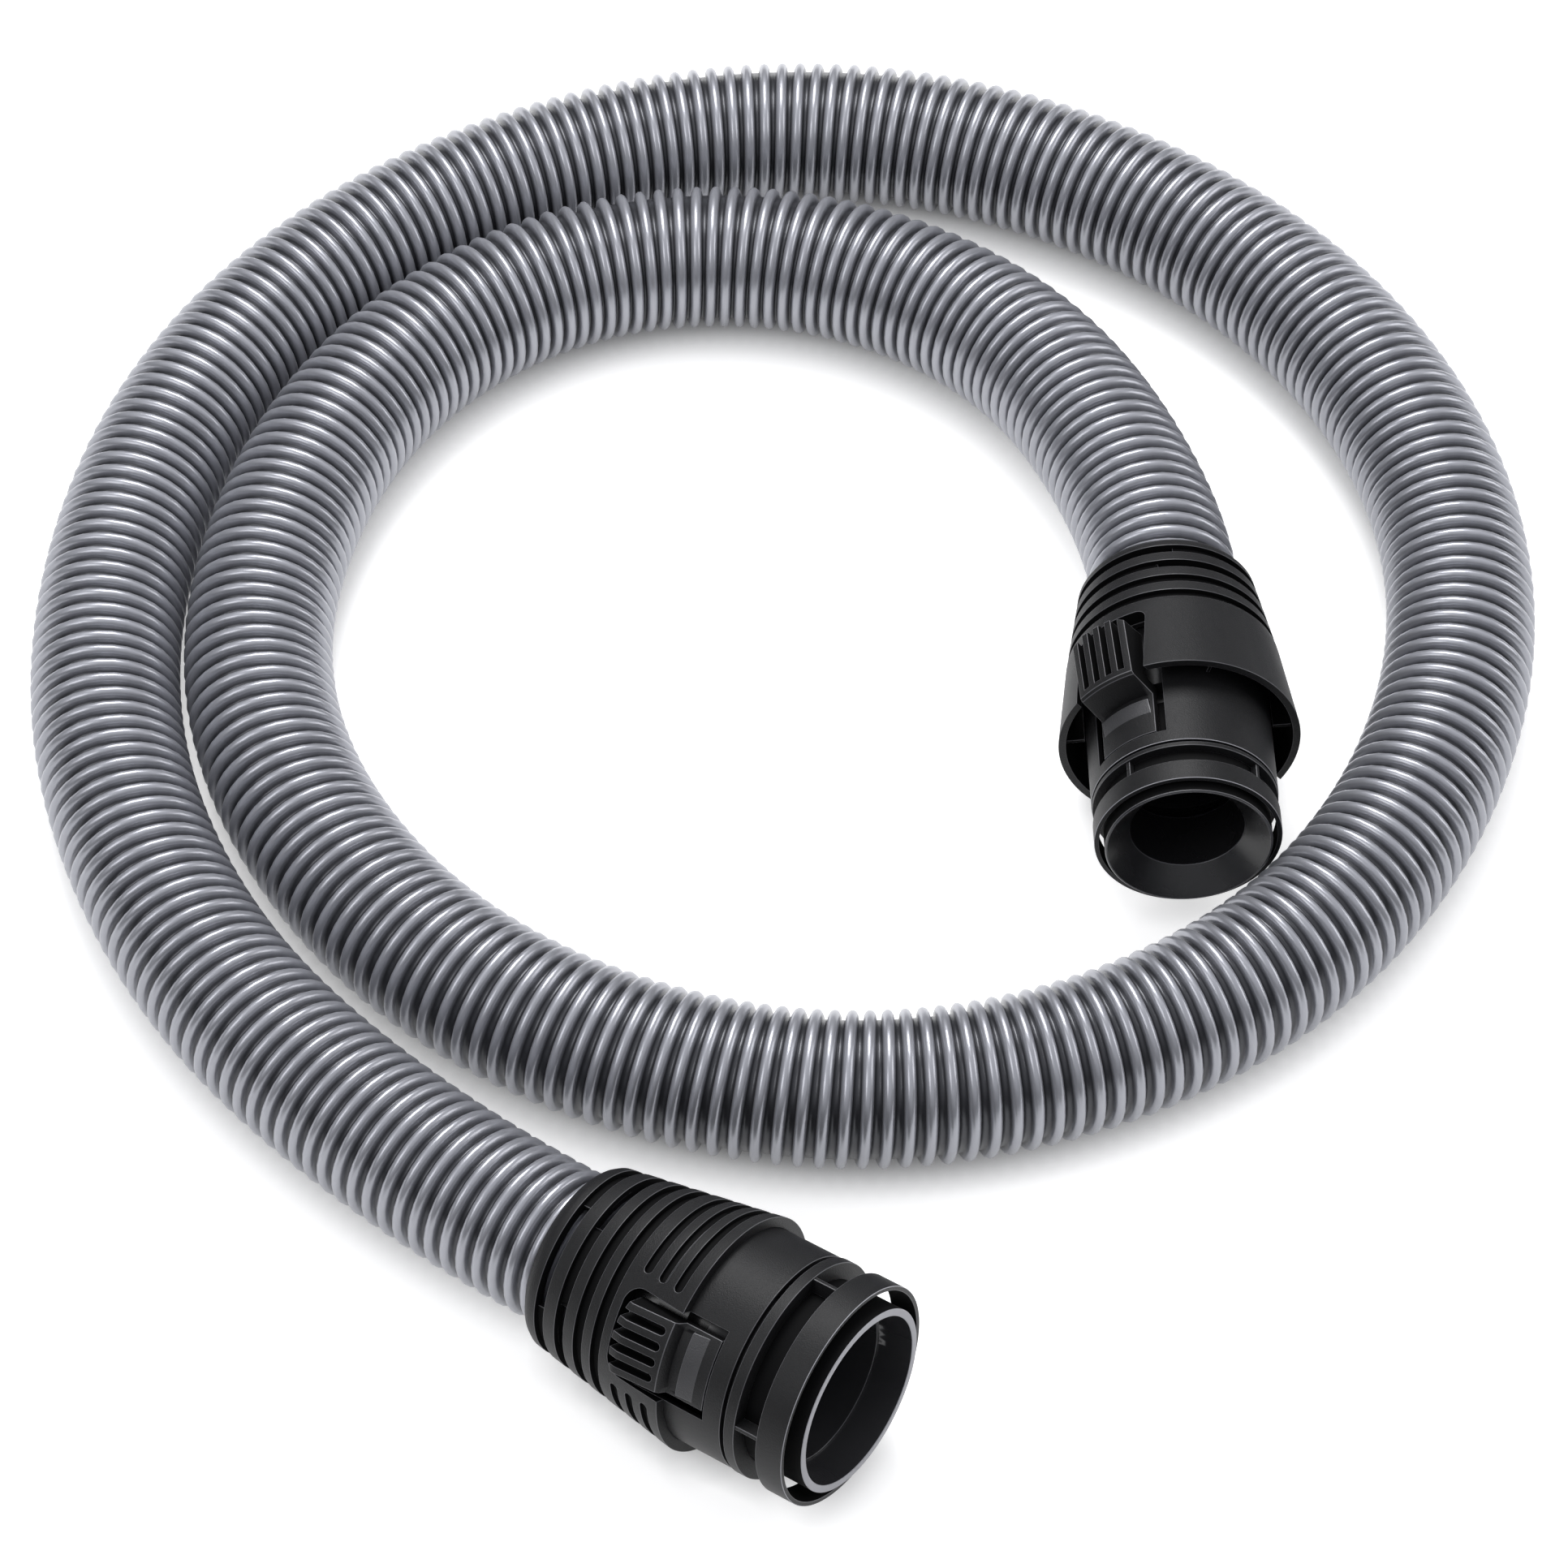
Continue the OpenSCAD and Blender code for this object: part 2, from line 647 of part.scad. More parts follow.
module inlet_hose_sleeve() {
    color(black)
        at_inlet()
            hose_sleeve(inlet_hose_at, inlet_flange_at);
}

module inlet_swivel_ring() {
    color(black)
        at_inlet()
            swivel_ring(inlet_flange_at);
}

module inlet_seal() {
    color(rubber)
        at_inlet()
            seal(inlet_socket_end);
}

// Short slots with round ends, from one button's cut-out to the other's
module inlet_arc_slots() {
    half_cut = inlet_latch_w / 2 + latch_slit + arc_slot_margin + arc_slot_w / 2;
    for (k = [0:arc_slot_count - 1]) {
        at = inlet_grip_at + arc_slot_inset + k * arc_slot_pitch;
        r = inlet_grip_r(at) - arc_slot_depth;
        start = asin(half_cut / inlet_grip_r(at));
        for (turn = [0, 180])
            rotate([0, 0, inlet_latch_turn + turn]) {
                ring_arc(reach, r, at - arc_slot_w / 2, at + arc_slot_w / 2, start, 180 - 2 * start);
                for (end = [start, 180 - start])
                    rotate([0, 0, end])
                        translate([r, 0, -at])
                            rotate([0, 90, 0])
                                cylinder(d = arc_slot_w, h = reach - r);
            }
    }
}

module inlet_grip() {
    slots = slot_stations(inlet_grip_end - inlet_slot_inset, inlet_slot_pitch, inlet_slot_pitch_step);
    seat_end = inlet_grip_at + inlet_neck_seat;
    round_at = inlet_grip_end - grip_end_round;
    color(black)
        at_inlet()
            difference() {
                turned(concat(
                    [
                        [inlet_neck_r + seat_gap, inlet_grip_at],
                        [inlet_grip_r(inlet_grip_at), inlet_grip_at],
                        [inlet_grip_r(round_at), round_at]
                    ],
                    grip_end_corners(inlet_grip_r(inlet_grip_end), inlet_grip_end, inlet_flange_at),
                    [[swivel_bore_r, seat_end], [inlet_neck_r + seat_gap, seat_end]]
                ));
                grip_slots(slots, [for (at = slots) inlet_grip_r(at)], inlet_slot_w, inlet_slot_w_step);
                inlet_arc_slots();
                for (turn = [0, 180])
                    rotate([0, 0, inlet_latch_turn + turn])
                        latch_cut(inlet_latch_w, inlet_grip_at - past, inlet_cutout_end, inlet_cutout_corner);
            }
}

module inlet_neck() {
    color(black)
        at_inlet()
            difference() {
                ring(inlet_neck_r, inlet_neck_r - inlet_neck_wall,
                    inlet_neck_at, inlet_grip_at + inlet_neck_seat - seat_gap);
                for (turn = [0, 180])
                    rotate([0, 0, inlet_latch_turn + turn])
                        latch_cut(inlet_latch_w, inlet_hinge_at, inlet_cutout_end, inlet_cutout_corner);
            }
}

// The mouth ring: end ring, webs, narrow band and the spigot in the neck
module mouth_ring(ring_r, ring_l, ring_wall, band_r, band_at, band_w, spigot_l, spigot_r, tube_r, turn) {
    band_end = band_at + band_w;
    ring(ring_r, ring_r - ring_wall, 0, ring_l);
    turned([
        [tube_r + seat_gap, band_at], [band_r, band_at], [band_r, band_end],
        [spigot_r, band_end], [spigot_r, band_end + spigot_l], [tube_r + seat_gap, band_end + spigot_l]
    ]);
    for (k = [0:web_count - 1])
        rotate([0, 0, turn + k * 360 / web_count])
            intersection() {
                translate([0, -web_t / 2, -band_at - band_w / 2])
                    cube([ring_r, web_t, band_at + band_w / 2 - ring_l / 2]);
                ring(ring_r - ring_wall / 2, tube_r + turn_gap, 0, band_end);
            }
}

module inlet_mouth_ring() {
    color(black)
        at_inlet()
            mouth_ring(inlet_ring_d / 2, inlet_ring_l, inlet_ring_wall, inlet_band_d / 2, inlet_band_at,
                inlet_band_w, inlet_spigot_l, inlet_neck_r - inlet_neck_wall - seat_gap,
                inlet_tube_d / 2, inlet_web_turn);
}

module inlet_inner_tube() {
    tube_r = inlet_tube_d / 2;
    end_r = socket_r + inlet_socket_wall;
    collar_at = inlet_band_at + inlet_band_w + inlet_spigot_l + seat_gap;
    color(black)
        at_inlet()
            turned([
                [inlet_lip_bore_d / 2, -inlet_lip], [tube_r, -inlet_lip],
                [tube_r, collar_at], [inlet_neck_r - inlet_neck_wall - seat_gap, collar_at],
                [inlet_neck_r - inlet_neck_wall - seat_gap, collar_at + tube_collar_w],
                [tube_r, collar_at + tube_collar_w],
                [end_r, collar_at + tube_collar_w + tube_r - end_r], [end_r, inlet_socket_end],
                [socket_r, inlet_socket_end], [socket_r, inlet_socket_end - socket_l - socket_spare_l],
                [inlet_bore_d / 2, inlet_bore_end],
                [inlet_bore_d / 2, inlet_step_at], [inlet_bore_d / 2 + inlet_step_w, inlet_step_at]
            ]);
}

module inlet_latch(turn) {
    inner_r = inlet_neck_r - inlet_neck_wall;
    front_r = inlet_grip_r(inlet_grip_at) + inlet_button_rise;
    crest_r = front_r + inlet_button_crest_rise;
    color(black)
        at_inlet()
            rotate([0, 0, inlet_latch_turn + turn]) {
                difference() {
                    intersection() {
                        turned([
                            [inner_r, inlet_hinge_at + hinge_gap], [inlet_neck_r, inlet_hinge_at + hinge_gap],
                            [inlet_neck_r, inlet_grip_at - button_round],
                            [front_r - button_round, inlet_grip_at], [front_r, inlet_grip_at + button_round],
                            [crest_r, inlet_button_crest_at],
                            [crest_r - inlet_button_drop, inlet_button_end + past],
                            [inner_r, inlet_button_end + past]
                        ]);
                        rounded_block(inlet_latch_w, inlet_button_end, inlet_button_end_round);
                    }
                    bar_slots(inlet_latch_w, inlet_bar_slot_w, inlet_grip_at + inlet_strip_w,
                        inlet_button_end, front_r - inlet_bar_slot_depth, true);
                }
                catch_ramp(inlet_latch_w, inlet_neck_r, inlet_catch_at, inlet_catch_l);
            }
}

module inlet_latch_upper() {
    inlet_latch(0);
}

module inlet_latch_lower() {
    inlet_latch(180);
}

// ---- Handle connector ----

function handle_skirt_r(at) =
    (handle_skirt_d + (handle_waist_d - handle_skirt_d)
        * (at - handle_grip_at) / (handle_waist_at - handle_grip_at)) / 2;

function handle_grip_r(at) =
    (handle_waist_d + (handle_grip_end_d - handle_waist_d)
        * (at - handle_waist_at) / (handle_grip_end - grip_end_round - handle_waist_at)) / 2;

module handle_hose_sleeve() {
    color(black)
        at_handle()
            hose_sleeve(handle_hose_at, handle_flange_at);
}

module handle_swivel_ring() {
    color(black)
        at_handle()
            swivel_ring(handle_flange_at);
}

module handle_seal() {
    color(rubber)
        at_handle()
            seal(handle_socket_end);
}

module handle_grip() {
    slots = slot_stations(handle_grip_end - handle_slot_inset, handle_slot_pitch, 0);
    round_at = handle_grip_end - grip_end_round;
    web_inset = handle_skirt_wall / 2;
    color(black)
        at_handle()
            difference() {
                union() {
                    turned(concat(
                        [
                            [handle_skirt_r(handle_grip_at) - handle_skirt_wall, handle_grip_at],
                            [handle_skirt_r(handle_grip_at), handle_grip_at],
                            [handle_skirt_r(handle_waist_at), handle_waist_at],
                            [handle_grip_r(round_at), round_at]
                        ],
                        grip_end_corners(handle_grip_r(handle_grip_end), handle_grip_end, handle_flange_at),
                        [
                            [swivel_bore_r, handle_neck_end + seat_gap],
                            [handle_neck_r + seat_gap, handle_neck_end + seat_gap],
                            [handle_neck_r + seat_gap, handle_neck_end - handle_neck_seat],
                            [handle_skirt_r(handle_skirt_end) - handle_skirt_wall, handle_skirt_end]
                        ]
                    ));
                    for (latch = [0, 180], side = [-1, 1])
                        rotate([0, 0, handle_latch_turn + latch + side * skirt_web_turn])
                            intersection() {
                                translate([0, -skirt_web_t / 2, -handle_skirt_end - past])
                                    cube([reach, skirt_web_t, handle_skirt_end + past - skirt_web_at]);
                                turned([
                                    [handle_neck_r + turn_gap, skirt_web_at],
                                    [handle_skirt_r(skirt_web_at) - web_inset, skirt_web_at],
                                    [handle_skirt_r(handle_waist_at) - web_inset, handle_waist_at],
                                    [handle_neck_r + turn_gap, handle_waist_at]
                                ]);
                            }
                }
                grip_slots(slots, [for (at = slots) handle_grip_r(at)], handle_slot_w, 0);
                for (turn = [0, 180])
                    rotate([0, 0, handle_latch_turn + turn])
                        latch_cut(handle_latch_w, handle_grip_at - past, handle_cutout_end, handle_cutout_corner);
            }
}

module handle_neck() {
    color(black)
        at_handle()
            difference() {
                ring(handle_neck_r, handle_neck_r - handle_neck_wall, handle_neck_at, handle_neck_end);
                for (turn = [0, 180])
                    rotate([0, 0, handle_latch_turn + turn])
                        latch_cut(handle_latch_w, handle_hinge_at, handle_cutout_end, handle_cutout_corner);
            }
}

module handle_mouth_ring() {
    color(black)
        at_handle()
            mouth_ring(handle_ring_d / 2, handle_ring_l, handle_ring_wall, handle_band_d / 2, handle_band_at,
                handle_band_w, handle_spigot_l, handle_neck_r - handle_neck_wall - seat_gap,
                handle_tube_d / 2, handle_web_turn);
}

module handle_inner_tube() {
    tube_r = handle_tube_d / 2;
    spigot_end = handle_band_at + handle_band_w + handle_spigot_l;
    color(black)
        at_handle()
            turned([
                [handle_lip_bore_d / 2, -handle_lip + lip_round],
                [handle_lip_bore_d / 2 + lip_round, -handle_lip],
                [tube_r - lip_round, -handle_lip], [tube_r, -handle_lip + lip_round],
                [tube_r, spigot_end], [handle_tube_end_d / 2, spigot_end + tube_r - handle_tube_end_d / 2],
                [handle_tube_end_d / 2, handle_socket_end], [socket_r, handle_socket_end],
                [socket_r, handle_socket_end - socket_l - socket_spare_l],
                [handle_bore_d / 2, handle_bore_end],
                [handle_bore_d / 2, handle_step_at],
                [handle_bore_d / 2 + handle_step_w, handle_step_at - handle_step_w]
            ]);
}

module handle_latch(turn) {
    inner_r = handle_neck_r - handle_neck_wall;
    slot_floor_r = handle_button_r - handle_bar_slot_depth;
    color(black)
        at_handle()
            rotate([0, 0, handle_latch_turn + turn]) {
                difference() {
                    intersection() {
                        turned([
                            [inner_r, handle_hinge_at + hinge_gap],
                            [handle_neck_r, handle_hinge_at + hinge_gap],
                            [handle_neck_r, handle_button_at - 2 * button_round],
                            [handle_button_r - button_round, handle_button_at],
                            [handle_button_r, handle_button_at + button_round],
                            [handle_button_end_r, handle_button_end - button_round],
                            [handle_button_end_r - button_round, handle_button_end],
                            [handle_button_under_r, handle_button_end],
                            [handle_button_under_r, handle_button_at + button_front_t + button_round],
                            [inner_r, handle_button_at + button_front_t - button_round]
                        ]);
                        rounded_block(handle_latch_w, handle_button_end, handle_button_end_round);
                    }
                    bar_slots(handle_latch_w, handle_bar_slot_w, handle_button_at + button_front_t,
                        handle_button_end, slot_floor_r, false);
                }
                catch_ramp(handle_latch_w, handle_neck_r, handle_catch_at, handle_catch_l);
            }
}

module handle_latch_upper() {
    handle_latch(0);
}

module handle_latch_lower() {
    handle_latch(180);
}

// ---- Least gap between neighbouring turns of the hose, measured between rib centres ----

rib_centres = [for (i = [0:rib_count - 1]) on_curve(at_share(i / (rib_count - 1)))];
// Ribs closer than this along the hose belong to the same bend
far_ribs = ceil(rib_count / 6);
least_gap = min([for (i = [0:rib_count - 1 - far_ribs], j = [i + far_ribs:rib_count - 1])
    norm(rib_centres[i] - rib_centres[j])]) - hose_d;
union() {  // hose_tube
    echo(hose_length = hose_length, least_gap_of_hose_to_itself = least_gap);
}

hose_tube();
inlet_hose_sleeve();
inlet_swivel_ring();
inlet_seal();
inlet_grip();
inlet_neck();
inlet_mouth_ring();
inlet_inner_tube();
inlet_latch_upper();
inlet_latch_lower();
handle_hose_sleeve();
handle_swivel_ring();
handle_seal();
handle_grip();
handle_neck();
handle_mouth_ring();
handle_inner_tube();
handle_latch_upper();
handle_latch_lower();
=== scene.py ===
"""Looks of a ribbed vacuum cleaner hose with a swivelling connector at each end.

Lengths are metres, but stations and radii about a connector are millimetres. A station is a distance
behind the rim of the connector's mouth, along its axis.
"""
import json
import math

import bmesh
import bpy
import numpy as np
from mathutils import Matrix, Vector


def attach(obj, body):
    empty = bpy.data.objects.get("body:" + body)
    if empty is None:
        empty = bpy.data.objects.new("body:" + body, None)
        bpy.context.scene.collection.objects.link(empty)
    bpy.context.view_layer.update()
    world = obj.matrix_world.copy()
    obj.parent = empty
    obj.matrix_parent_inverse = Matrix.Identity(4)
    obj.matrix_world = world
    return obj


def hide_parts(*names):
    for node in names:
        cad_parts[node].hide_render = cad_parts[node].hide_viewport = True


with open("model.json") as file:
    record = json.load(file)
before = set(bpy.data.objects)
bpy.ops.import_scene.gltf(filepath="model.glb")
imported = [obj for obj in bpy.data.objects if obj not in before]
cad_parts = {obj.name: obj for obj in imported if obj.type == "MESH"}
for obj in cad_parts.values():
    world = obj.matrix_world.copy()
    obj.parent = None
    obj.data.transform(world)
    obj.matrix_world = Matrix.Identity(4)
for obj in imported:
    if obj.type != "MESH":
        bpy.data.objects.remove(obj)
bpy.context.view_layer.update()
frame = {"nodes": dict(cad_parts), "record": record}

MM = 0.001

# ---- Camera ----

CAMERA_TARGET = np.array([-40, 107, 0]) * MM
CAMERA_ELEVATION = math.radians(51.5)
CAMERA_DISTANCE = 1500 * MM
# Blender takes these two in millimetres
SENSOR_WIDTH = 36.0
LENS = 116.83

# ---- Hose ----

HOSE_R = 22 * MM
RIB_DEPTH = 2.8 * MM
RIB_HALF_WIDTH = 1.8 * MM
RIB_COUNT = 372
RIB_SIDES = 32
RIB_FULLNESS = 2.4
# Places across the rib, in half widths
RIB_PROFILE = np.array([-1, -0.9, -0.62, -0.22, 0.22, 0.62, 0.9, 1])
BORE_R = 17.5 * MM
BORE_RINGS = 190
BORE_SIDES = 20
# Steps in which each span of the hose's curve is measured, and points of a path along it that hose_tube
# works out but hands to nothing
SPAN_STEPS = 60
PATH_POINTS = 400

# ---- Connectors, in millimetres and degrees ----
#
# rim         mouth's centre on the plan
# heading     direction of the axis on the plan, and tilt its rise
# hose_at     station of the hose's end
# grip_at     stations of the corners of the grip's outline, and grip_r their radii, the widest first
# bright_to   station up to which the neck's corners get a painted highlight, which only the handle's do
# neck_r      radius of the neck at the latches
# catch_to    station where a latch's catch ends
# button_at   station where a latch's button starts, and button_r the radius of its crest

INLET = {
    "rim": (-22.5, -127), "heading": -35, "tilt": 6.5, "hose_at": 43,
    "grip_at": (38, 86, 88.3), "grip_r": (34, 26.6, 25.5), "bright_to": 0,
    "neck_r": 30.9, "catch_to": 34.2, "button_at": 38, "button_r": 34.2,
}
HANDLE = {
    "rim": (74.5, 58), "heading": -89, "tilt": 2.5, "hose_at": 41,
    "grip_at": (36.8, 63.6, 91.7, 94), "grip_r": (34.9, 31.3, 26.3, 25), "bright_to": 14.8,
    "neck_r": 26.7, "catch_to": 31.2, "button_at": 34.8, "button_r": 35.8,
}

# Control points of the hose's curve between its straight ends, in millimetres, and how far the first
# and the last ones rise over the height of a hose on the floor
ROUTE_PLAN = [
    (-148, -37), (-199, 12), (-233, 78), (-244, 146), (-232, 224), (-195, 287), (-139, 333),
    (-70, 359), (2, 359), (70, 331), (125, 283), (159, 217), (165, 145), (142, 74), (97, 18),
    (29, -16), (-41, -22), (-114, 3), (-167, 51), (-199, 119), (-194, 191), (-164, 257),
    (-104, 302), (-27, 305), (37, 264), (64, 203),
]
ROUTE_RISE_FIRST = 1
ROUTE_RISE_LAST = (2, 7)


def connector_frame(c):
    """Adds the axis, out of the mouth, and the mouth's centre, for a grip that rests on the floor."""
    heading, tilt = math.radians(c["heading"]), math.radians(c["tilt"])
    radius, station = c["grip_r"][0], c["grip_at"][0]
    height = radius * math.cos(tilt) + station * math.sin(tilt)
    c["axis"] = np.array([math.cos(tilt) * math.cos(heading), math.cos(tilt) * math.sin(heading),
                          math.sin(tilt)])
    c["mouth"] = np.array([*c["rim"], height]) * MM


def at(c, station):
    """Points at stations on a connector's axis."""
    return c["mouth"] - np.asarray(station)[..., None] * c["axis"] * MM


def about(c, points):
    """Stations and radii of points about a connector, and their directions away from its axis."""
    away = (points - c["mouth"]) / MM
    station = -away @ c["axis"]
    out = away + station[:, None] * c["axis"]
    radius = np.linalg.norm(out, axis=-1)
    # A point on the axis has no such direction, so within a millimetre of it they shrink
    return station, radius, out / np.maximum(radius, 1)[:, None]


for connector in (INLET, HANDLE):
    connector_frame(connector)


# ---- Mesh helpers ----


def mesh_object(name, points, quads, smooth=True):
    """A mesh object from arrays of points and of the four corners of each face."""
    mesh = bpy.data.meshes.new(name)
    mesh.from_pydata(np.asarray(points).tolist(), [], np.asarray(quads).tolist())
    mesh.update()
    mesh.polygons.foreach_set("use_smooth", [smooth] * len(mesh.polygons))
    obj = bpy.data.objects.new(name, mesh)
    bpy.context.scene.collection.objects.link(obj)
    return obj


# ---- The hose ----


def straight_end(c):
    """Five control points half a hose apart, which keep an end straight."""
    return at(c, c["hose_at"] + np.arange(-1, 4) * HOSE_R / MM)


def route():
    """Control points from the inlet's end to the handle's."""
    rise = np.zeros(len(ROUTE_PLAN))
    rise[0] = ROUTE_RISE_FIRST
    rise[-2:] = ROUTE_RISE_LAST
    free = np.column_stack([ROUTE_PLAN, HOSE_R / MM + rise]) * MM
    return np.vstack([straight_end(INLET), free, straight_end(HANDLE)[::-1]])


class Curve:
    """A uniform cubic B-spline, asked for points and directions by the length run."""

    def __init__(self, control):
        self.control = control
        self.spans = len(control) - 3
        self.u = np.linspace(0, self.spans, self.spans * SPAN_STEPS + 1)
        steps = np.linalg.norm(np.diff(self.point(self.u), axis=0), axis=1)
        self.run = np.concatenate([[0], np.cumsum(steps)])
        self.length = self.run[-1]

    def weighed(self, u, weights):
        """The sum of a span's four control points, each times its weight there."""
        k = np.minimum(u.astype(int), self.spans - 1)
        w = weights((u - k)[..., None])
        return sum(w[i] * self.control[k + i] for i in range(4))

    def point(self, u):
        """Points of the curve, with the cubic weights."""
        return self.weighed(u, lambda t: [
            (1 - t) ** 3 / 6, (3 * t ** 3 - 6 * t ** 2 + 4) / 6,
            (3 * (1 - t) ** 3 - 6 * (1 - t) ** 2 + 4) / 6, t ** 3 / 6])

    def ahead(self, u):
        """Directions of the curve, with twice the slopes of the cubic weights."""
        v = self.weighed(u, lambda t: [
            -(1 - t) ** 2, 3 * t ** 2 - 4 * t, 4 * (1 - t) - 3 * (1 - t) ** 2, t ** 2])
        return v / np.linalg.norm(v, axis=-1, keepdims=True)

    def frames(self, run):
        """Centre, direction, side and top of the curve where that length has run."""
        u = np.interp(run, self.run, self.u)
        ahead = self.ahead(u)
        side = np.cross(ahead, [0, 0, 1])
        side /= np.linalg.norm(side, axis=-1, keepdims=True)
        return self.point(u), ahead, side, np.cross(side, ahead)


def outwards(sides, side, top):
    """Unit vectors off the curve in that many equal steps of a turn, from side towards top."""
    turn = 2 * math.pi * np.arange(sides)[:, None] / sides
    return np.cos(turn) * side + np.sin(turn) * top


def rib_points(curve, pitch):
    """The hose's one rib, a bead wound as a screw. A point of its section at x half widths across has
    radius groove + depth * (1 - |x|^fullness)^0.5, and its centre has run a pitch more per turn.
    Also gives each point's share of the depth, which is 1 on the crown."""
    turns = np.arange(RIB_COUNT)[:, None, None] + 0.5 + np.arange(RIB_SIDES) / RIB_SIDES
    centre, ahead, side, top = curve.frames(turns * pitch)
    x = RIB_PROFILE[:, None, None]
    crown = np.sqrt(1 - np.abs(x) ** RIB_FULLNESS)
    radius = HOSE_R - RIB_DEPTH + RIB_DEPTH * crown
    points = centre + ahead * x * RIB_HALF_WIDTH + outwards(RIB_SIDES, side, top) * radius
    return points.reshape(-1, 3), np.broadcast_to(crown[..., 0], points.shape[:-1]).reshape(-1)


def rib_quads():
    """Quads between neighbouring rows of the rib. A row is closed by the first point of the row at the
    same place across the next turn."""
    across = len(RIB_PROFILE)
    rows = RIB_COUNT * across
    row, k = np.meshgrid(np.arange(rows - 1), np.arange(RIB_SIDES - 1), indexing="ij")
    first = row * RIB_SIDES + k
    quads = np.stack([first, first + 1, first + RIB_SIDES + 1, first + RIB_SIDES], -1).reshape(-1, 4)
    row = np.arange(rows - 1 - across)
    last = row * RIB_SIDES + RIB_SIDES - 1
    onward = (row + across) * RIB_SIDES
    closing = np.stack([last, onward, onward + RIB_SIDES, last + RIB_SIDES], -1)
    return np.vstack([quads, closing])


def bore_points(curve, pitch):
    """Rings of the bore along the curve, from half a pitch after its start to as much before its end."""
    run = np.linspace(0.5 * pitch, curve.length - 0.5 * pitch, BORE_RINGS)[:, None]
    centre, _, side, top = curve.frames(run)
    return (centre + outwards(BORE_SIDES, side, top) * BORE_R).reshape(-1, 3)


def bore_quads():
    """Quads between neighbouring rings of the bore."""
    ring, k = np.meshgrid(np.arange(BORE_RINGS - 1), np.arange(BORE_SIDES), indexing="ij")
    here, beside = ring * BORE_SIDES + k, ring * BORE_SIDES + (k + 1) % BORE_SIDES
    return np.stack([here, here + BORE_SIDES, beside + BORE_SIDES, beside], -1).reshape(-1, 4)


def close_ends(obj):
    """Fills the gaps between the bore and the screw's two open ends, and turns all faces outwards."""
    bm = bmesh.new()
    bm.from_mesh(obj.data)
    bmesh.ops.holes_fill(bm, edges=[e for e in bm.edges if e.is_boundary], sides=0)
    bmesh.ops.recalc_face_normals(bm, faces=bm.faces)
    for face in bm.faces:
        face.smooth = True
    bm.to_mesh(obj.data)
    bm.free()


def hose_tube(curve, material):
    """The hose: the screw of its rib, its bore, and caps between them."""
    pitch = curve.length / (RIB_COUNT + 1)
    rib, crown = rib_points(curve, pitch)
    bore = bore_points(curve, pitch)
    obj = mesh_object("hose", np.vstack([rib, bore]), np.vstack([rib_quads(), bore_quads() + len(rib)]))
    crowns = np.concatenate([crown, np.zeros(len(bore))]).astype(np.float32)
    obj.data.attributes.new("crown", "FLOAT", "POINT").data.foreach_set("value", crowns)
    close_ends(obj)
    obj.data.materials.append(material)
    path = curve.frames(np.linspace(0, curve.length, PATH_POINTS))[0]
    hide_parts("hose_tube")
    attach(obj, "hose")


# ---- Finishes, painted shade and painted highlights of a connector's faces ----
#
# A paint function gets arrays over a piece's faces: place, the material each has now, station, radius,
# and ahead and outward, the shares of its normal along the axis and away from it. It gives the places.

# Places of the materials: plain, worn corners with painted highlight, painted shade, painted highlight and
# painted light
PLAIN, CORNER, PAINTED_SHADE, PAINTED_HIGHLIGHT, PAINTED_LIT = range(5)

# A face looks a way when this share of its normal does
LOOKS = 0.5
# Corners that look inwards by more than this stay as they are
BARELY_IN = -0.2

# Stations, radii and distances in millimetres
RIM_TO = 0.5
INLET_TUBE_WIDE_R = 25
INLET_LIP_TO = -2.3
INLET_LIP_AHEAD = 0.3
HANDLE_LIP_TO = 3
GRIP_SUNKEN = 0.4
GRIP_FRONT_EDGE = 0.6
GRIP_REAR_EDGE = 1
BAR_SLOTS_BEHIND = 2
BAR_SLOTS_BELOW = 1.5
BAR_ENDS_BEHIND = 14
CATCH_ABOVE = 0.05
CATCH_OUTWARD = 0.3


def is_wall(ahead, outward):
    """Faces that look sideways, such as the sides of slots and slits."""
    return (np.abs(outward) < LOOKS) & (np.abs(ahead) < LOOKS)


def highlit_corners(place, station, outward, bright_to):
    """A painted highlight on the rounded corners up to that station, unless they look inwards."""
    return np.where((station < bright_to) & (outward > BARELY_IN) & (place == CORNER), PAINTED_HIGHLIGHT, place)


def paint_mouth_ring(place, station, radius, ahead, outward):
    """Painted shade on the inner faces, and a painted highlight on the front edge of the end ring."""
    place = np.where((outward < -LOOKS) & (place == PLAIN), PAINTED_SHADE, place)
    return highlit_corners(place, station, outward, RIM_TO)


def paint_inlet_tube(place, station, radius, ahead, outward):
    """A painted highlight on the lip's flat face, and painted shade on the wide part's outside."""
    place = np.where((outward > LOOKS) & (radius > INLET_TUBE_WIDE_R) & (place == PLAIN), PAINTED_SHADE, place)
    return np.where((station < INLET_LIP_TO) & (ahead > INLET_LIP_AHEAD), PAINTED_HIGHLIGHT, place)


def paint_handle_tube(place, station, radius, ahead, outward):
    """Painted shade on the outside behind the lip."""
    return np.where((outward > LOOKS) & (station > HANDLE_LIP_TO) & (place == PLAIN), PAINTED_SHADE, place)


def paint_grip(c):
    """For a connector's grip: painted shade on the faces in its slots and cut-outs and inside it."""
    def paint(place, station, radius, ahead, outward):
        sunken = radius < np.interp(station, c["grip_at"], c["grip_r"]) - GRIP_SUNKEN
        front = (station < c["grip_at"][0] + GRIP_FRONT_EDGE) & (ahead > LOOKS)
        rear = station > c["grip_at"][-1] - GRIP_REAR_EDGE
        return np.where(sunken & ~front & ~rear & (place == PLAIN), PAINTED_SHADE, place)
    return paint


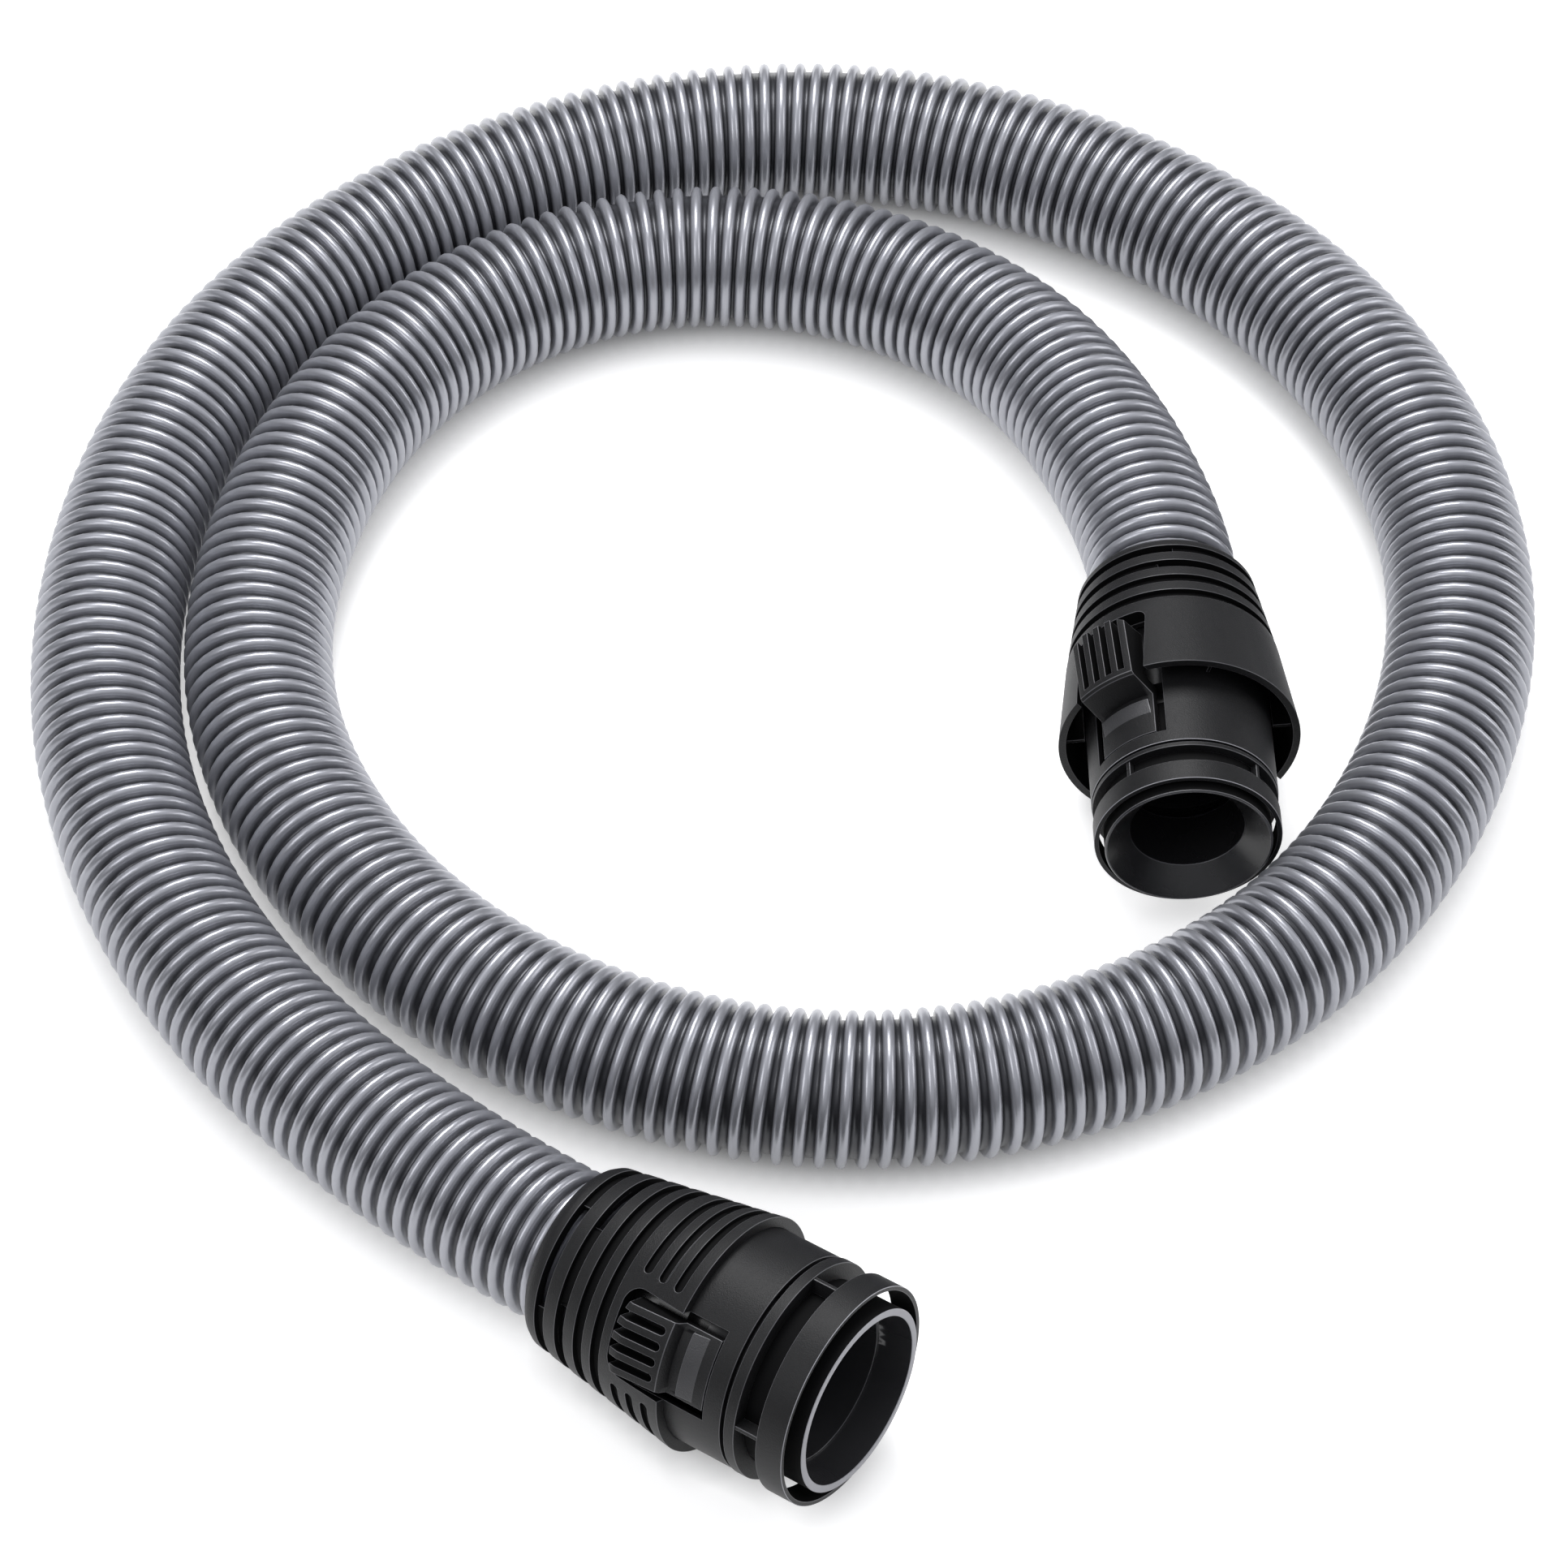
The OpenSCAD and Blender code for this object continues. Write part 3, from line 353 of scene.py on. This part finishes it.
def paint_neck(c):
    """For a connector's neck: painted shade on its windows' sides and its inside, and a painted highlight
    on its foremost corners.
    """
    def paint(place, station, radius, ahead, outward):
        hidden = is_wall(ahead, outward) | (outward < -LOOKS)
        place = np.where(hidden & (place == PLAIN), PAINTED_SHADE, place)
        return highlit_corners(place, station, outward, c["bright_to"])
    return paint


def paint_latch(c):
    """For a connector's latches: painted shade on the sides, the inside and the slots between the bars, and
    painted light on the bars' rear ends and the catch."""
    def paint(place, station, radius, ahead, outward):
        slots = (outward > LOOKS) & (station > c["button_at"] + BAR_SLOTS_BEHIND) \
            & (radius < c["button_r"] - BAR_SLOTS_BELOW)
        hidden = slots | is_wall(ahead, outward) | (outward < -LOOKS)
        place = np.where(hidden & (place == PLAIN), PAINTED_SHADE, place)
        # Painted light: the bars' rear ends and the catch made paler where light catches them
        bar_ends = (ahead < -LOOKS) & (station > c["button_at"] + BAR_ENDS_BEHIND)
        catch = (radius > c["neck_r"] + CATCH_ABOVE) & (station < c["catch_to"]) & (outward > CATCH_OUTWARD)
        return np.where((bar_ends | catch) & (place == PLAIN), PAINTED_LIT, place)
    return paint


def paints():
    """The paint function of each piece that shows, by the name of its node."""
    by_node = {"inlet_inner_tube": paint_inlet_tube, "handle_inner_tube": paint_handle_tube}
    for end, c in (("inlet", INLET), ("handle", HANDLE)):
        by_node[end + "_mouth_ring"] = paint_mouth_ring
        by_node[end + "_neck"] = paint_neck(c)
        by_node[end + "_grip"] = paint_grip(c)
        by_node[end + "_latch_upper"] = by_node[end + "_latch_lower"] = paint_latch(c)
    return by_node


# ---- Connectors ----

SEAM_CLOSE = 0.002 * MM
FLAT_ANGLE = math.radians(0.5)
CORNER_ANGLE = math.radians(28)
CORNER_WIDTH = 0.16 * MM
SHARP_ANGLE = math.radians(38)


def painted(mesh, c, paint):
    """Gives each face of a connector's piece the place of its material."""
    count = len(mesh.polygons)
    middle, normal = np.empty(3 * count), np.empty(3 * count)
    place = np.empty(count, np.int32)
    mesh.polygons.foreach_get("center", middle)
    mesh.polygons.foreach_get("normal", normal)
    mesh.polygons.foreach_get("material_index", place)
    normal = normal.reshape(-1, 3)
    station, radius, out = about(c, middle.reshape(-1, 3))
    place = paint(place, station, radius, normal @ c["axis"], (normal * out).sum(-1))
    mesh.polygons.foreach_set("material_index", place.astype(np.int32))


def dressed(name, body, c, paint):
    """A copy of a CAD node with narrow rounded corners and painted faces. It stands for the node."""
    bm = bmesh.new()
    bm.from_mesh(frame["nodes"][name].data)
    bmesh.ops.remove_doubles(bm, verts=bm.verts, dist=SEAM_CLOSE)
    bmesh.ops.dissolve_limit(bm, angle_limit=FLAT_ANGLE, verts=bm.verts, edges=bm.edges)
    for face in bm.faces:
        face.material_index = PLAIN
    corners = [e for e in bm.edges
               if e.is_manifold and e.is_convex and e.calc_face_angle() > CORNER_ANGLE]
    bmesh.ops.bevel(bm, geom=corners, offset=CORNER_WIDTH, offset_type="OFFSET", segments=2, profile=0.5,
                    affect="EDGES", clamp_overlap=False, material=CORNER)
    mesh = bpy.data.meshes.new(name + "_dressed")
    bm.to_mesh(mesh)
    bm.free()
    mesh.polygons.foreach_set("use_smooth", [True] * len(mesh.polygons))
    mesh.set_sharp_from_angle(angle=SHARP_ANGLE)
    painted(mesh, c, paint)
    obj = bpy.data.objects.new(name + "_dressed", mesh)
    bpy.context.scene.collection.objects.link(obj)
    obj.modifiers.new("even normals", "WEIGHTED_NORMAL").keep_sharp = True
    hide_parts(name)
    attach(obj, body)
    return obj


def connectors(finishes):
    """Both connectors' pieces. Pieces that don't show keep the solids' own meshes."""
    # The shared finishes: worn corners with painted highlight, painted shade, painted highlight and painted
    # light, in the order of the places
    shared = [finishes[name] for name in ("corner", "dark", "bright", "painted_light")]
    paint_of = paints()
    slots = {part["node"]: part["material_slot"] for part in frame["record"]["subparts"]}
    for body, names in frame["record"]["behaviour"]["bodies"].items():
        for name in names:
            if name in paint_of:
                c = INLET if name.startswith("inlet") else HANDLE
                obj = dressed(name, body, c, paint_of[name])
                # The inlet's inner tube takes the bore plastic, paler for a painted sheen
                main = finishes["bore" if name == "inlet_inner_tube" else slots[name]]
                for material in (main, *shared):
                    obj.data.materials.append(material)
            elif name != "hose_tube":
                node = frame["nodes"][name]
                node.data.materials.clear()
                node.data.materials.append(finishes[slots[name]])


# ---- Materials ----

HOSE_TONES = ((0.30, 0.305, 0.333), (0.39, 0.397, 0.432))
HOSE_ROUGHNESS = (0.26, 0.36)
HOSE_METALLIC = 0.55
HOSE_GRAIN = 900
HOSE_BUMP = 0.05
# Painted shade: the dark tone of the groove floors, for the shade that falls between the ribs
GROOVE_SHADE_TONE = (0.05, 0.051, 0.057)
# Share of the rib's depth above which the tone is the crown's; below it painted shade darkens the tone
# towards the grooves and the bore
CROWN_FROM = 0.7

# Plastics: the tones and the roughness each vary between two values. Grain is how fine the grain is,
# bump how strong, and specular the strength of plain reflections.
PLASTICS = {
    "black_plastic": {"name": "black plastic", "tones": (0.006, 0.011), "roughness": (0.42, 0.52),
                      "grain": 2600, "bump": 0.55, "specular": 0.25},
    "black_gloss": {"name": "smooth black plastic", "tones": (0.008, 0.013), "roughness": (0.22, 0.32),
                    "grain": 700, "bump": 0.06},
    # Painted sheen: paler than the smooth black plastic, for the sheen inside the inlet's tube
    "bore": {"name": "bore plastic with painted sheen", "tones": (0.020, 0.032), "roughness": (0.2, 0.3),
             "grain": 700, "bump": 0.06},
    "seal_rubber": {"name": "seal rubber", "tones": (0.010, 0.016), "roughness": (0.65, 0.8),
                    "grain": 1500, "bump": 0.2},
    # Worn corners with painted highlight: paler tones for wear and for the light the narrow rounded corners
    # catch
    "corner": {"name": "worn corners with painted highlight", "tones": (0.05, 0.12), "roughness": (0.3, 0.4),
               "grain": 2600, "bump": 0.1},
    # Painted light: paler tones on the latches' lit catch and bar ends
    "painted_light": {"name": "faces with painted light", "tones": (0.02, 0.05), "roughness": (0.4, 0.5),
               "grain": 2600, "bump": 0.6},
    # Painted shade: near black, dull faces in slots, windows and insides, where shade falls
    "dark": {"name": "inner faces with painted shade", "tones": (0.002, 0.004), "roughness": (0.7, 0.8),
             "grain": 1500, "bump": 0.1, "specular": 0.1},
    # Painted highlight: pale rims where light glances off the mouths' front edges and the inlet tube's lip
    "bright": {"name": "rims with painted highlight", "tones": (0.24, 0.36), "roughness": (0.35, 0.45),
               "grain": 1800, "bump": 0.15},
}
# How much bluer than grey the plastics are
BLUER = 1.08
GRAIN_DEPTH = 0.2 * MM
PATCH_SCALE = 55.0


def new_material(name, color, roughness, metallic=0.0, specular=0.5):
    """A material with its Principled shader's plain values set on the shader."""
    material = bpy.data.materials.new(name)
    material.use_nodes = True
    shader = material.node_tree.nodes["Principled BSDF"]
    shader.inputs["Base Color"].default_value = (*color, 1)
    shader.inputs["Roughness"].default_value = roughness
    shader.inputs["Metallic"].default_value = metallic
    shader.inputs["Specular IOR Level"].default_value = specular
    return material, shader


def add_node(tree, kind, **values):
    """A node with some of its inputs set."""
    node = tree.nodes.new(kind)
    for key, value in values.items():
        node.inputs[key.replace("_", " ")].default_value = value
    return node


def color_mix(tree, factor):
    """A node that goes from its colour A to its colour B as that output goes from 0 to 1."""
    node = tree.nodes.new("ShaderNodeMix")
    node.data_type = "RGBA"
    tree.links.new(factor, node.inputs["Factor"])
    return node


def grain_group():
    """Fine moulded grain: Object coordinates go through noise to a height and a varying colour share."""
    group = bpy.data.node_groups.new("moulded grain", "ShaderNodeTree")
    group.interface.new_socket("Scale", in_out="INPUT", socket_type="NodeSocketFloat")
    group.interface.new_socket("Height", in_out="OUTPUT", socket_type="NodeSocketFloat")
    group.interface.new_socket("Patch", in_out="OUTPUT", socket_type="NodeSocketFloat")
    start, end = group.nodes.new("NodeGroupInput"), group.nodes.new("NodeGroupOutput")
    place = group.nodes.new("ShaderNodeTexCoord")
    fine = add_node(group, "ShaderNodeTexNoise", Detail=2.0, Roughness=0.6)
    coarse = add_node(group, "ShaderNodeTexNoise", Scale=PATCH_SCALE, Detail=3.0)
    group.links.new(place.outputs["Object"], fine.inputs["Vector"])
    group.links.new(place.outputs["Object"], coarse.inputs["Vector"])
    group.links.new(start.outputs["Scale"], fine.inputs["Scale"])
    group.links.new(fine.outputs["Fac"], end.inputs["Height"])
    group.links.new(coarse.outputs["Fac"], end.inputs["Patch"])
    return group


def with_grain(material, shader, group, scale, bump, colors, roughness):
    """Feeds the grain into a material: bump, colour between two tones and roughness between two values.
    Gives the node that holds the colour."""
    tree = material.node_tree
    grain = tree.nodes.new("ShaderNodeGroup")
    grain.node_tree = group
    grain.inputs["Scale"].default_value = scale
    height = add_node(tree, "ShaderNodeBump", Strength=bump, Distance=GRAIN_DEPTH)
    tree.links.new(grain.outputs["Height"], height.inputs["Height"])
    tree.links.new(height.outputs["Normal"], shader.inputs["Normal"])
    tone = color_mix(tree, grain.outputs["Patch"])
    tone.inputs["A"].default_value = (*colors[0], 1)
    tone.inputs["B"].default_value = (*colors[1], 1)
    tree.links.new(tone.outputs["Result"], shader.inputs["Base Color"])
    gloss = add_node(tree, "ShaderNodeMapRange", To_Min=roughness[0], To_Max=roughness[1])
    tree.links.new(grain.outputs["Patch"], gloss.inputs["Value"])
    tree.links.new(gloss.outputs["Result"], shader.inputs["Roughness"])
    return tone


def hose_material(group):
    """Silver grey, the ribs' crowns pale, with painted shade darkening their flanks and the grooves."""
    silver, shader = new_material("hose plastic", HOSE_TONES[0], HOSE_ROUGHNESS[0], HOSE_METALLIC)
    tone = with_grain(silver, shader, group, HOSE_GRAIN, HOSE_BUMP, HOSE_TONES, HOSE_ROUGHNESS)
    tree = silver.node_tree
    crown = tree.nodes.new("ShaderNodeAttribute")
    crown.attribute_name = "crown"
    share = add_node(tree, "ShaderNodeMapRange", From_Min=0.0, From_Max=CROWN_FROM)
    share.interpolation_type = "SMOOTHSTEP"
    tree.links.new(crown.outputs["Fac"], share.inputs["Value"])
    # Painted shade: the tone goes to the groove's dark tone as the share of the depth falls
    groove_shade = color_mix(tree, share.outputs["Result"])
    groove_shade.inputs["A"].default_value = (*GROOVE_SHADE_TONE, 1)
    tree.links.new(tone.outputs["Result"], groove_shade.inputs["B"])
    tree.links.new(groove_shade.outputs["Result"], shader.inputs["Base Color"])
    return silver


def plastic(group, name, tones, roughness, grain, bump, specular=0.5):
    """A moulded plastic or rubber, slightly blue, with the grain on it."""
    colors = [(tone, tone, tone * BLUER) for tone in tones]
    material, shader = new_material(name, colors[0], roughness[0], specular=specular)
    with_grain(material, shader, group, grain, bump, colors, roughness)
    return material


def materials():
    """The object's finishes by name."""
    group = grain_group()
    finishes = {"hose_plastic": hose_material(group)}
    for key, values in PLASTICS.items():
        finishes[key] = plastic(group, **values)
    return finishes


# ---- Stage, light and camera ----

FLOOR_HALF = 6.0
# The floor's own tone and glow where it shows, and its tone for the light it throws on the object
FLOOR_TONE = (0.6, 0.6, 0.6, 1)
FLOOR_GLOW = (0.72, 0.72, 0.72, 1)
FLOOR_PLAIN = (0.75, 0.75, 0.75, 1)
# How near the object the glow fades, and the rays that look for it
SHADOW_REACH = 12 * MM
SHADOW_SAMPLES = 8

# The room's low and high tones, and how far up a direction points where one ends and the other starts
ROOM_LOW = (0.18, (0.03, 0.03, 0.035, 1))
ROOM_HIGH = (0.75, (0.75, 0.76, 0.8, 1))
WHITE = (1, 1, 1, 1)

LAMP_TARGET = Vector((0, 0.1, 0.02))
LAMP_SIZE = 0.8


def ray_is(tree, *kinds):
    """An output that is 1 for rays of these kinds."""
    ray = tree.nodes.new("ShaderNodeLightPath")
    found = ray.outputs[kinds[0]]
    for kind in kinds[1:]:
        either = tree.nodes.new("ShaderNodeMath")
        either.operation = "MAXIMUM"
        tree.links.new(found, either.inputs[0])
        tree.links.new(ray.outputs[kind], either.inputs[1])
        found = either.outputs[0]
    return found


def shader_pick(tree, factor, otherwise, chosen, out):
    """Feeds the output node with one shader where the factor is 0 and the chosen one where it is 1."""
    pick = tree.nodes.new("ShaderNodeMixShader")
    tree.links.new(factor, pick.inputs[0])
    tree.links.new(otherwise.outputs[0], pick.inputs[1])
    tree.links.new(chosen.outputs[0], pick.inputs[2])
    tree.links.new(pick.outputs[0], out.inputs[0])


def stage():
    """A pale floor that looks white to the camera and in reflections, and keeps a soft shadow."""
    corners = [(x * FLOOR_HALF, y * FLOOR_HALF, 0) for x, y in ((-1, -1), (1, -1), (1, 1), (-1, 1))]
    floor = mesh_object("floor", corners, [(0, 1, 2, 3)], smooth=False)
    material = bpy.data.materials.new("floor")
    material.use_nodes = True
    tree = material.node_tree
    tree.nodes.clear()
    out = tree.nodes.new("ShaderNodeOutputMaterial")
    lit = add_node(tree, "ShaderNodeBsdfDiffuse", Color=FLOOR_TONE)
    shade = add_node(tree, "ShaderNodeAmbientOcclusion", Color=FLOOR_GLOW, Distance=SHADOW_REACH)
    shade.samples = SHADOW_SAMPLES
    glow = add_node(tree, "ShaderNodeEmission", Strength=1.0)
    tree.links.new(shade.outputs["Color"], glow.inputs["Color"])
    both = tree.nodes.new("ShaderNodeAddShader")
    tree.links.new(lit.outputs[0], both.inputs[0])
    tree.links.new(glow.outputs[0], both.inputs[1])
    plain = add_node(tree, "ShaderNodeBsdfDiffuse", Color=FLOOR_PLAIN)
    seen = ray_is(tree, "Is Camera Ray", "Is Glossy Ray", "Is Transmission Ray")
    shader_pick(tree, seen, plain, both, out)
    floor.data.materials.append(material)


def room():
    """The room round the stage: dark at the horizon and pale overhead, but white to the camera."""
    world = bpy.data.worlds.new("studio")
    bpy.context.scene.world = world
    world.use_nodes = True
    tree = world.node_tree
    tree.nodes.clear()
    out = tree.nodes.new("ShaderNodeOutputWorld")
    place = tree.nodes.new("ShaderNodeTexCoord")
    parts = tree.nodes.new("ShaderNodeSeparateXYZ")
    tree.links.new(place.outputs["Generated"], parts.inputs[0])
    ramp = tree.nodes.new("ShaderNodeValToRGB")
    for element, (height, color) in zip(ramp.color_ramp.elements, (ROOM_LOW, ROOM_HIGH)):
        element.position = height
        element.color = color
    tree.links.new(parts.outputs["Z"], ramp.inputs[0])
    tones = add_node(tree, "ShaderNodeBackground", Strength=1.0)
    tree.links.new(ramp.outputs["Color"], tones.inputs["Color"])
    white = add_node(tree, "ShaderNodeBackground", Color=WHITE, Strength=1.0)
    shader_pick(tree, ray_is(tree, "Is Camera Ray"), tones, white, out)


def lamp(name, azimuth, elevation, distance, power):
    """A square area lamp that looks at the target. Azimuth 0 is on the camera's side, 90 to its right."""
    a, e = math.radians(azimuth), math.radians(elevation)
    away = Vector((math.sin(a) * math.cos(e), -math.cos(a) * math.cos(e), math.sin(e)))
    data = bpy.data.lights.new(name, "AREA")
    data.shape = "SQUARE"
    data.size = LAMP_SIZE
    data.energy = power
    obj = bpy.data.objects.new(name, data)
    obj.location = LAMP_TARGET + away * distance
    obj.rotation_mode = "QUATERNION"
    obj.rotation_quaternion = (-away).to_track_quat("-Z", "Y")
    bpy.context.scene.collection.objects.link(obj)


def light():
    """Studio light: the room, a strong lamp above and behind, and weaker ones at the sides."""
    room()
    lamp("key", azimuth=190, elevation=60, distance=1.6, power=22)
    lamp("fill", azimuth=-60, elevation=45, distance=1.8, power=6)
    lamp("side", azimuth=95, elevation=22, distance=1.6, power=6)
    bpy.context.scene.view_settings.view_transform = "Standard"


def camera():
    """The camera, at its distance and height in front of the target."""
    back = np.array([0, -math.cos(CAMERA_ELEVATION), math.sin(CAMERA_ELEVATION)])
    data = bpy.data.cameras.new("camera")
    data.sensor_width = SENSOR_WIDTH
    data.lens = LENS
    obj = bpy.data.objects.new("camera", data)
    obj.location = CAMERA_TARGET + back * CAMERA_DISTANCE
    obj.rotation_mode = "QUATERNION"
    obj.rotation_quaternion = Vector(-back).to_track_quat("-Z", "Y")
    bpy.context.scene.collection.objects.link(obj)
    bpy.context.scene.camera = obj


camera()
finishes = materials()
hose_tube(Curve(route()), finishes["hose_plastic"])
connectors(finishes)
stage()
light()
